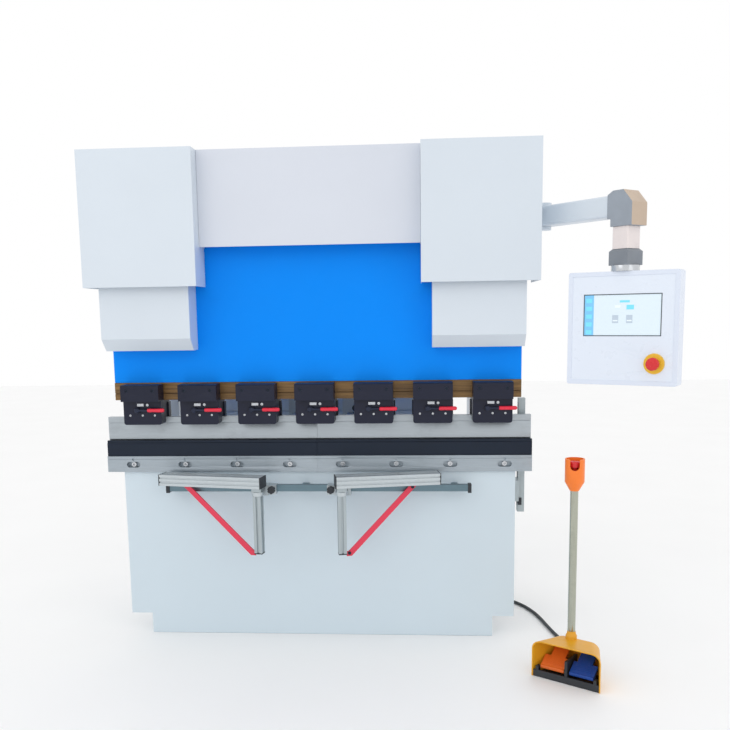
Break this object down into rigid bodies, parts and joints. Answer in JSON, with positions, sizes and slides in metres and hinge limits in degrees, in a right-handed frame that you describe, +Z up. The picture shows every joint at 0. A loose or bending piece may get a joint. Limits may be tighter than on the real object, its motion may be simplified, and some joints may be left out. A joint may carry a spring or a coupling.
{
  "type": "press brake",
  "caption": "Small hydraulic press brake with a sliding ram, quick-clamped punch, block die, back gauge, front sheet supports, swinging control panel and pole-mounted foot pedal.",
  "frame": {"origin": "on the floor, under the bending line, at the middle of the machine", "axes": "+X to the operator's right along the bending line, +Y to the back, +Z up; the operator stands on the -Y side"},
  "size_m": [2.0489, 1.2696, 1.806],
  "materials": {
    "white_paint": "satin powder coat",
    "cover_paint": "satin powder coat",
    "blue_paint": "gloss enamel",
    "frame_paint": "satin powder coat",
    "ground_steel": "ground",
    "oiled_strip": "oiled, brown",
    "black_oxide": "black oxide",
    "clamp_black": "satin blue-black",
    "bright_screw": "polished",
    "grip_red": "dipped grip",
    "profile_alu": "anodised",
    "bar_steel": "bright drawn",
    "brace_red": "gloss enamel",
    "grey_plastic": "grained",
    "stem_paint": "satin",
    "panel_paint": "satin powder coat",
    "screen": "gloss",
    "stop_red": "gloss",
    "guard_yellow": "gloss",
    "base_black": "grained",
    "treadle_orange": "satin",
    "treadle_blue": "satin",
    "pole_steel": "plated",
    "guard_orange": "gloss",
    "cord_rubber": "matte",
    "tank_grey": "satin",
    "motor_grey": "painted",
    "pipe_steel": "zinc plated",
    "cabinet_paint": "textured"
  },
  "bodies": {
    "machine": {"side_frame_left": "frame_paint", "side_frame_right": "frame_paint", "bed_plate": "white_paint", "cross_beams": "frame_paint", "cylinder_bodies": "motor_grey", "die_rail": "ground_steel", "rail_bolts": "bright_screw", "lower_die": "black_oxide", "upper_covers": "cover_paint", "middle_cover": "cover_paint", "support_rail": "bar_steel", "linear_scale": "profile_alu", "oil_tank": "tank_grey", "pump_motor": "motor_grey", "hydraulic_lines": "pipe_steel", "electrical_cabinet": "cabinet_paint", "arm_bracket": "cabinet_paint", "pedal_base": "base_black", "pedal_hood": "guard_yellow", "pedal_pole": "pole_steel", "pole_guard": "guard_orange", "pedal_cord": "cord_rubber", "gauge_base": "frame_paint"},
    "ram": {"ram": "blue_paint", "ram_strips": "oiled_strip", "punch": "ground_steel", "clamp_bodies": "clamp_black", "clamp_bolts": "bright_screw", "lower_covers": "cover_paint", "piston_rods": "bright_screw"},
    "door": {"cabinet_door": "cabinet_paint"},
    "arm": {"control_arm": "cover_paint", "arm_elbow": "grey_plastic"},
    "panel": {"panel_stem": "stem_paint", "panel_housing": "panel_paint", "panel_face": "panel_paint", "panel_screen": "screen"},
    "panel_stop": {"panel_estop": "stop_red"},
    "treadle_left": {"treadle_left": "treadle_orange"},
    "treadle_right": {"treadle_right": "treadle_blue"},
    "pole_stop": {"pole_estop": "stop_red"},
    "gauge": {"gauge_carriage": "profile_alu"},
    "gauge_screw": {"gauge_screw": "ground_steel"},
    "finger_left": {"gauge_finger_left": "profile_alu"},
    "finger_right": {"gauge_finger_right": "profile_alu"},
    "lever_1": {"clamp_lever_1": "grip_red"},
    "lever_2": {"clamp_lever_2": "grip_red"},
    "lever_3": {"clamp_lever_3": "grip_red"},
    "lever_4": {"clamp_lever_4": "grip_red"},
    "lever_5": {"clamp_lever_5": "grip_red"},
    "lever_6": {"clamp_lever_6": "grip_red"},
    "lever_7": {"clamp_lever_7": "grip_red"},
    "carriage_left": {"support_carriage_left": "profile_alu"},
    "knob_left": {"support_knob_left": "base_black"},
    "support_left": {"support_post_left": "brace_red", "support_arm_left": "profile_alu"},
    "carriage_right": {"support_carriage_right": "profile_alu"},
    "knob_right": {"support_knob_right": "base_black"},
    "support_right": {"support_post_right": "brace_red", "support_arm_right": "profile_alu"}
  },
  "joints": [
    {"name": "ram_slide", "type": "slide", "parent": "machine", "child": "ram", "axis": [0, 0, 1], "range_m": [0, 0.1]},
    {"name": "lever_1_turn", "type": "hinge", "parent": "ram", "child": "lever_1", "pos_m": [-0.662, -0.076, 0.882], "axis": [0, 1, 0], "range_deg": [0, 90]},
    {"name": "lever_2_turn", "type": "hinge", "parent": "ram", "child": "lever_2", "pos_m": [-0.446, -0.076, 0.882], "axis": [0, 1, 0], "range_deg": [0, 90]},
    {"name": "lever_3_turn", "type": "hinge", "parent": "ram", "child": "lever_3", "pos_m": [-0.23, -0.076, 0.882], "axis": [0, 1, 0], "range_deg": [0, 90]},
    {"name": "lever_4_turn", "type": "hinge", "parent": "ram", "child": "lever_4", "pos_m": [-0.014, -0.076, 0.882], "axis": [0, 1, 0], "range_deg": [0, 90]},
    {"name": "lever_5_turn", "type": "hinge", "parent": "ram", "child": "lever_5", "pos_m": [0.202, -0.076, 0.882], "axis": [0, 1, 0], "range_deg": [0, 90]},
    {"name": "lever_6_turn", "type": "hinge", "parent": "ram", "child": "lever_6", "pos_m": [0.418, -0.076, 0.882], "axis": [0, 1, 0], "range_deg": [0, 90]},
    {"name": "lever_7_turn", "type": "hinge", "parent": "ram", "child": "lever_7", "pos_m": [0.634, -0.076, 0.882], "axis": [0, 1, 0], "range_deg": [0, 90]},
    {"name": "door_hinge", "type": "hinge", "parent": "machine", "child": "door", "pos_m": [0.7294, 0.533, 0.425], "axis": [0, 0, 1], "range_deg": [0, 110]},
    {"name": "arm_swing", "type": "hinge", "parent": "machine", "child": "arm", "pos_m": [0.842, 0.036, 1.562], "axis": [0, 0, 1], "range_deg": [-15, 60]},
    {"name": "panel_swivel", "type": "hinge", "parent": "arm", "child": "panel", "pos_m": [1.066, -0.25, 1.52], "axis": [0, 0, 1], "range_deg": [-60, 60]},
    {"name": "panel_stop_push", "type": "slide", "parent": "panel", "child": "panel_stop", "axis": [0.4802, 0.8771, 0], "range_m": [0, 0.005], "stiffness_N_per_m": 2000, "springref_m": -0.002},
    {"name": "treadle_left_press", "type": "hinge", "parent": "machine", "child": "treadle_left", "pos_m": [0.87179, -0.43037, 0.034], "axis": [-0.831, 0.5563, 0], "range_deg": [0, 10], "stiffness_Nm_per_rad": 6, "springref_deg": -17.19},
    {"name": "treadle_right_press", "type": "hinge", "parent": "machine", "child": "treadle_right", "pos_m": [0.87179, -0.43037, 0.034], "axis": [-0.831, 0.5563, 0], "range_deg": [0, 10], "stiffness_Nm_per_rad": 6, "springref_deg": -17.19},
    {"name": "pole_stop_push", "type": "slide", "parent": "machine", "child": "pole_stop", "axis": [0, 0, -1], "range_m": [0, 0.005], "stiffness_N_per_m": 2000, "springref_m": -0.002},
    {"name": "gauge_slide", "type": "slide", "parent": "machine", "child": "gauge", "axis": [0, 1, 0], "range_m": [-0.08, 0.2]},
    {"name": "gauge_screw_turn", "type": "hinge", "parent": "machine", "child": "gauge_screw", "pos_m": [0, 0.3, 0.606], "axis": [0, 1, 0], "range_deg": [-3000, 7300]},
    {"name": "finger_left_slide", "type": "slide", "parent": "gauge", "child": "finger_left", "axis": [1, 0, 0], "range_m": [-0.3, 0.04]},
    {"name": "finger_right_slide", "type": "slide", "parent": "gauge", "child": "finger_right", "axis": [1, 0, 0], "range_m": [-0.04, 0.3]},
    {"name": "carriage_left_slide", "type": "slide", "parent": "machine", "child": "carriage_left", "axis": [1, 0, 0], "range_m": [-0.26, 0.06]},
    {"name": "knob_left_turn", "type": "hinge", "parent": "carriage_left", "child": "knob_left", "pos_m": [-0.157, -0.12, 0.59], "axis": [0, 1, 0], "continuous": true},
    {"name": "support_left_swing", "type": "hinge", "parent": "carriage_left", "child": "support_left", "pos_m": [-0.2, -0.162, 0.585], "axis": [0, 0, 1], "range_deg": [0, 100]},
    {"name": "carriage_right_slide", "type": "slide", "parent": "machine", "child": "carriage_right", "axis": [1, 0, 0], "range_m": [-0.06, 0.36]},
    {"name": "knob_right_turn", "type": "hinge", "parent": "carriage_right", "child": "knob_right", "pos_m": [0.062, -0.12, 0.59], "axis": [0, 1, 0], "continuous": true},
    {"name": "support_right_swing", "type": "hinge", "parent": "carriage_right", "child": "support_right", "pos_m": [0.105, -0.162, 0.585], "axis": [0, 0, -1], "range_deg": [0, 100]}
  ],
  "couplings": [
    {"joint": "gauge_screw_turn", "follows": "gauge_slide", "rad_per_m": 628.32}
  ]
}
